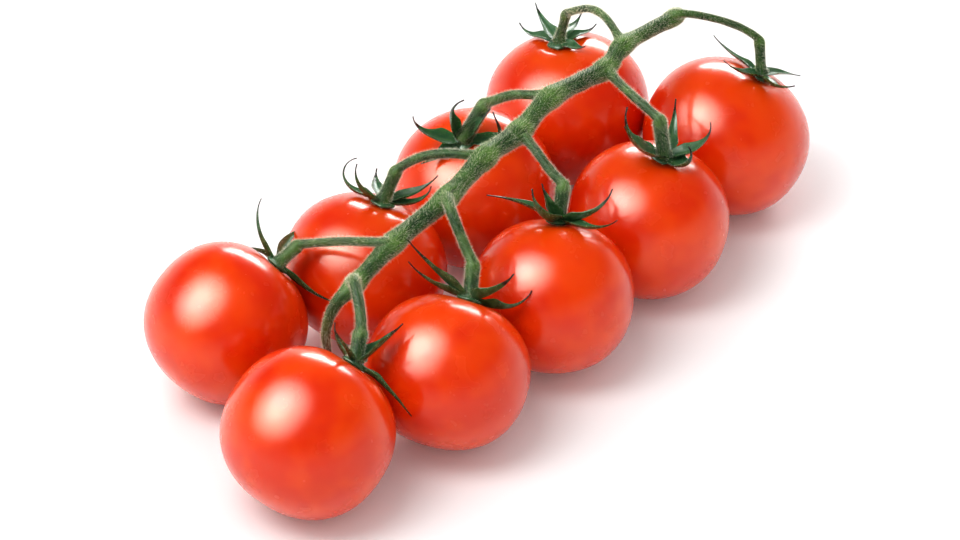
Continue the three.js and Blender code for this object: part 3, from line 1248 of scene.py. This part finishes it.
@dataclass(frozen=True)
class Softbox:
    """A soft area light that looks at the truss, brightest at its middle."""

    name: str
    toward: tuple[float, float, float]
    distance: float
    width: float
    height: float
    power: float
    core: float = 1.0
    sheen: bool = True
    fills: bool = True

    def build(self, target: Vector) -> None:
        """Hangs the light.

        Args:
            target: The point that it looks at.
        """
        data = bpy.data.lights.new(self.name, "AREA")
        data.shape = "ELLIPSE"
        data.size, data.size_y = self.width, self.height
        data.energy = self.power
        data.use_nodes = True
        data.node_tree.nodes.clear()
        graph = Graph(data.node_tree)
        across = graph.add("ShaderNodeNewGeometry").outputs["Parametric"]
        middle = {0: across, 1: (0.5, 0.5, 0.0)}
        off = graph.add("ShaderNodeVectorMath", middle, operation="DISTANCE").outputs["Value"]
        strength = graph.remap(off, 0.5, 0.5 * self.core - 0.001)
        lit = graph.add("ShaderNodeEmission", {"Strength": strength})
        graph.add("ShaderNodeOutputLight", {0: lit.outputs[0]})
        lamp = link(bpy.data.objects.new(self.name, data))
        lamp.visible_diffuse = self.fills
        lamp.visible_glossy = self.sheen
        direction = Vector(self.toward).normalized()
        lamp.location = target + direction * self.distance
        lamp.rotation_euler = direction.to_track_quat("Z", "Y").to_euler()


@dataclass(frozen=True)
class Studio:
    """Pale floor, soft lights and the camera."""

    softboxes: tuple[Softbox, ...]
    target: tuple[float, float, float] = (-0.0045, -0.0045, 0.015)
    azimuth: float = -49.5
    elevation: float = 36.0
    distance: float = 0.788
    lens: float = 157.5
    floor_radius: float = 6.0
    floor_sides: int = 96
    horizon: float = 0.9
    zenith: float = 0.05
    fill: float = 0.72

    def build_floor(self, finish: bpy.types.Material) -> None:
        """Lays the floor as one wide disc.

        Args:
            finish: Its material.
        """
        angle = np.linspace(0.0, math.tau, self.floor_sides, endpoint=False)
        rim = np.stack([np.cos(angle), np.sin(angle), 0.0 * angle], axis=1) * self.floor_radius / MM
        floor = Skin(rim, [tuple(range(self.floor_sides))]).to_object("floor", finish)

    def build_world(self) -> None:
        """Surrounds the studio with white light that fades towards the ceiling."""
        world = bpy.data.worlds.new("studio")
        world.use_nodes = True
        world.node_tree.nodes.clear()
        graph = Graph(world.node_tree)
        sight = graph.add("ShaderNodeTexCoord").outputs["Generated"]
        rise = graph.add("ShaderNodeSeparateXYZ", {0: sight}).outputs["Z"]
        seen = graph.remap(rise, 0.0, 0.45, self.horizon, self.zenith)
        soft = graph.add("ShaderNodeLightPath").outputs["Is Diffuse Ray"]
        mixed = graph.add("ShaderNodeMix", {0: soft, 2: seen, 3: self.fill}, data_type="FLOAT")
        strength = mixed.outputs[0]
        white = graph.add("ShaderNodeBackground", {"Strength": strength})
        white.inputs["Color"].default_value = (1.0, 1.0, 1.0, 1.0)
        graph.add("ShaderNodeOutputWorld", {0: white.outputs[0]})
        bpy.context.scene.world = world

    def build_camera(self) -> None:
        """Points the camera at the truss."""
        around, up = math.radians(self.azimuth), math.radians(self.elevation)
        level = math.cos(up)
        back = Vector((math.sin(around) * level, -math.cos(around) * level, math.sin(up)))
        data = bpy.data.cameras.new("camera")
        data.lens = self.lens
        camera = link(bpy.data.objects.new("camera", data))
        camera.location = Vector(self.target) + back * self.distance
        camera.rotation_euler = back.to_track_quat("Z", "Y").to_euler()
        bpy.context.scene.camera = camera

    def build(self) -> None:
        """Sets up the whole studio."""
        self.build_floor(FloorFinish().make())
        self.build_world()
        self.build_camera()
        for softbox in self.softboxes:
            softbox.build(Vector(self.target))
        view = bpy.context.scene.view_settings
        view.view_transform = "Standard"
        view.look = "Medium High Contrast"


RACHIS_POSTS = [
    Post((58.0, 1.3, 39.9), 1.2),
    Post((57.0, 0.5, 40.3), 1.25),
    Post((42.0, 1.0, 41.0), 1.5),
    Post((35.5, 0.0, 39.5), 1.6),
    Post((20.5, 1.0, 40.0), 1.75),
    Post((10.0, 0.0, 38.0), 1.8),
    Post((-0.5, -0.5, 38.0), 1.8),
    Post((-13.0, -2.0, 36.0), 1.75),
    Post((-28.0, -2.0, 34.0), 1.65),
    Post((-39.0, -2.5, 31.0), 1.35),
    Post((-43.0, -1.5, 28.6), 1.05),
    Post((-44.9, -0.8, 23.5), 0.8),
    Post((-44.4, -0.5, 17.5), 0.65),
]

FRUITS = [
    Fruit(1, 16.4, 0.88, 28, -30, Stalk((-3.5, -0.5, 4.5), (-2, 3.5, 4.5), (0.5, 1.5, 6.5), 0.72, 1.05), [
        Sepal(40, 8, 0, 40, 0, 1.3),
        Sepal(91, 12, -9, 29, 8, 1.1),
        Sepal(180, 13, 4, 19, -36, 1.4),
        Sepal(230, 12.5, 8, 39, 31, 1.5),
        Sepal(354, 11.5, 4, -6, -14, 1.4),
    ]),
    Fruit(2, 16.2, 0.90, 9, 90, Stalk((5, 9.5, 5), (-2.5, -6, 4.5), (1, -1, 6), 0.72, 0.98), [
        Sepal(21, 13, -28, 52, -5, 1.6),
        Sepal(67, 11.5, 13, 17, -17, 1.4),
        Sepal(86, 13, -37, 67, -24, 1.5),
        Sepal(265, 7, -8, 50, 0, 1.5),
        Sepal(343, 9.5, -30, 51, 25, 1.6),
    ]),
    Fruit(3, 15.5, 0.93, 11, -35, Stalk((-3.5, -8, 0), (0, 5, 2), (-0.5, 1, 7.5), 0.85, 1.35), [
        Sepal(24, 14, -4, 86, 41, 1.6),
        Sepal(110, 9, 0, 60, 0, 1.5),
        Sepal(168, 17.5, 21, 75, -60, 2.5),
        Sepal(269, 9.5, -11, 166, 7, 2.4),
        Sepal(309, 12.5, 19, 95, -9, 1.9),
    ]),
    Fruit(4, 15.7, 0.91, 18, -170, Stalk((-3.5, 7, 0.5), (0.5, -4.5, 3), (4.5, -2, 6.5), 0.88, 1.5), [
        Sepal(105, 13.5, 75, 76, 13, 1.6),
        Sepal(140, 13, 26, 72, -14, 1.8),
        Sepal(165, 9, -5, 30, 0, 1.5),
        Sepal(298, 14.5, -6, 166, -66, 1.6),
        Sepal(311, 10, 53, 4, -3, 1.8),
    ]),
    Fruit(5, 15.2, 0.94, 26, 30, Stalk((-2, -7.5, -0.5), (0, 5.5, 2), (2.5, 1, 5.5), 0.87, 1.32), [
        Sepal(131, 13.5, 26, -27, -5, 1.4),
        Sepal(189, 10, 41, 22, -6, 1.8),
        Sepal(193, 13.5, 5, 76, -20, 2.2),
        Sepal(264, 14.5, -9, 48, 2, 1.5),
        Sepal(278, 13, 12, 66, 16, 2.1),
    ]),
    Fruit(6, 15.5, 0.90, 21, -5, Stalk((-5.5, 5.5, 2), (3, -3.5, 4), (2.5, -1, 5.5), 0.85, 1.25), [
        Sepal(52, 12, -2, 27, -16, 1.5),
        Sepal(107, 14, -35, 199, 34, 1.1),
        Sepal(158, 11, 16, 80, -5, 1.4),
        Sepal(311, 10, 0, 95, -9, 1.5),
        Sepal(326, 11, 22, 42, -2, 1.6),
    ]),
    Fruit(7, 15.1, 0.92, 43, 15, Stalk((-4, -3.5, 4.5), (2, 5.5, 3.5), (3, 2, 4.5), 0.95, 1.38), [
        Sepal(45, 9, 5, 45, 0, 1.6),
        Sepal(131, 12.5, 2, 33, 8, 1.5),
        Sepal(140, 15, 22, 12, -4, 1.9),
        Sepal(259, 11.5, 21, 30, -21, 1.9),
        Sepal(321, 12.5, -10, 93, -1, 2.0),
    ]),
    Fruit(8, 14.9, 0.97, 53, -15, Stalk((-5.5, -1, 4), (3, -7.5, 3), (3.5, -1.5, 2.5), 0.8, 1.25), [
        Sepal(30, 7, -10, 20, 0, 1.4),
        Sepal(47, 14.5, 34, 4, -61, 1.3),
        Sepal(72, 10, -11, -8, -13, 1.1),
        Sepal(121, 12.5, 13, 63, 10, 1.1),
        Sepal(300, 13.5, -4, 37, 0, 1.4),
    ]),
    Fruit(9, 15.4, 0.97, 50, -5, Stalk((-2, -1, 6), (3.5, 2.5, 2), (3, 1.5, 3.5), 0.98, 1.38), [
        Sepal(20, 9, 10, 50, 0, 1.4),
        Sepal(85, 9, 10, 50, 0, 1.4),
        Sepal(188, 12, 12, 2, -20, 0.9),
        Sepal(292, 13.5, -8, -11, 0, 1.4),
        Sepal(318, 11, 72, 7, 0, 2.4),
    ]),
]

STUDIO = Studio((
    Softbox("key", (-0.55, 0.30, 0.78), 0.9, 0.6, 0.6, 3.8, core=0.4),
    Softbox("top", (-0.42, 0.05, 0.90), 0.5, 0.34, 0.34, 1.4, core=0.5, sheen=False),
    Softbox("sheen", (-0.54, 0.26, 0.80), 0.95, 1.7, 1.7, 76.0, core=0.1, fills=False),
    Softbox("back", (0.85, 0.45, 0.3), 1.1, 0.7, 0.3, 6.0),
))


def main() -> None:
    """Builds the truss and its studio."""
    logging.basicConfig(level=logging.INFO, format="%(message)s")
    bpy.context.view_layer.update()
    shop = Workshop(
        skin=SkinFinish().make(),
        stem=StemFinish().make(),
        sepal=SepalFinish().make(),
        hair=HairFinish().make(),
        cut=CutFinish().make(),
        sweep=SweepTool(),
        hairs=HairTool(),
    )
    rachis = Rachis(RACHIS_POSTS, range(1, 10))
    rachis.build(shop)
    for fruit in FRUITS:
        calyx = Calyx(fruit)
        fruit.build(shop)
        calyx.build(shop)
        Pedicel(fruit, calyx, RACHIS_POSTS[fruit.number]).build(shop)
    STUDIO.build()


if __name__ == "__main__":
    main()
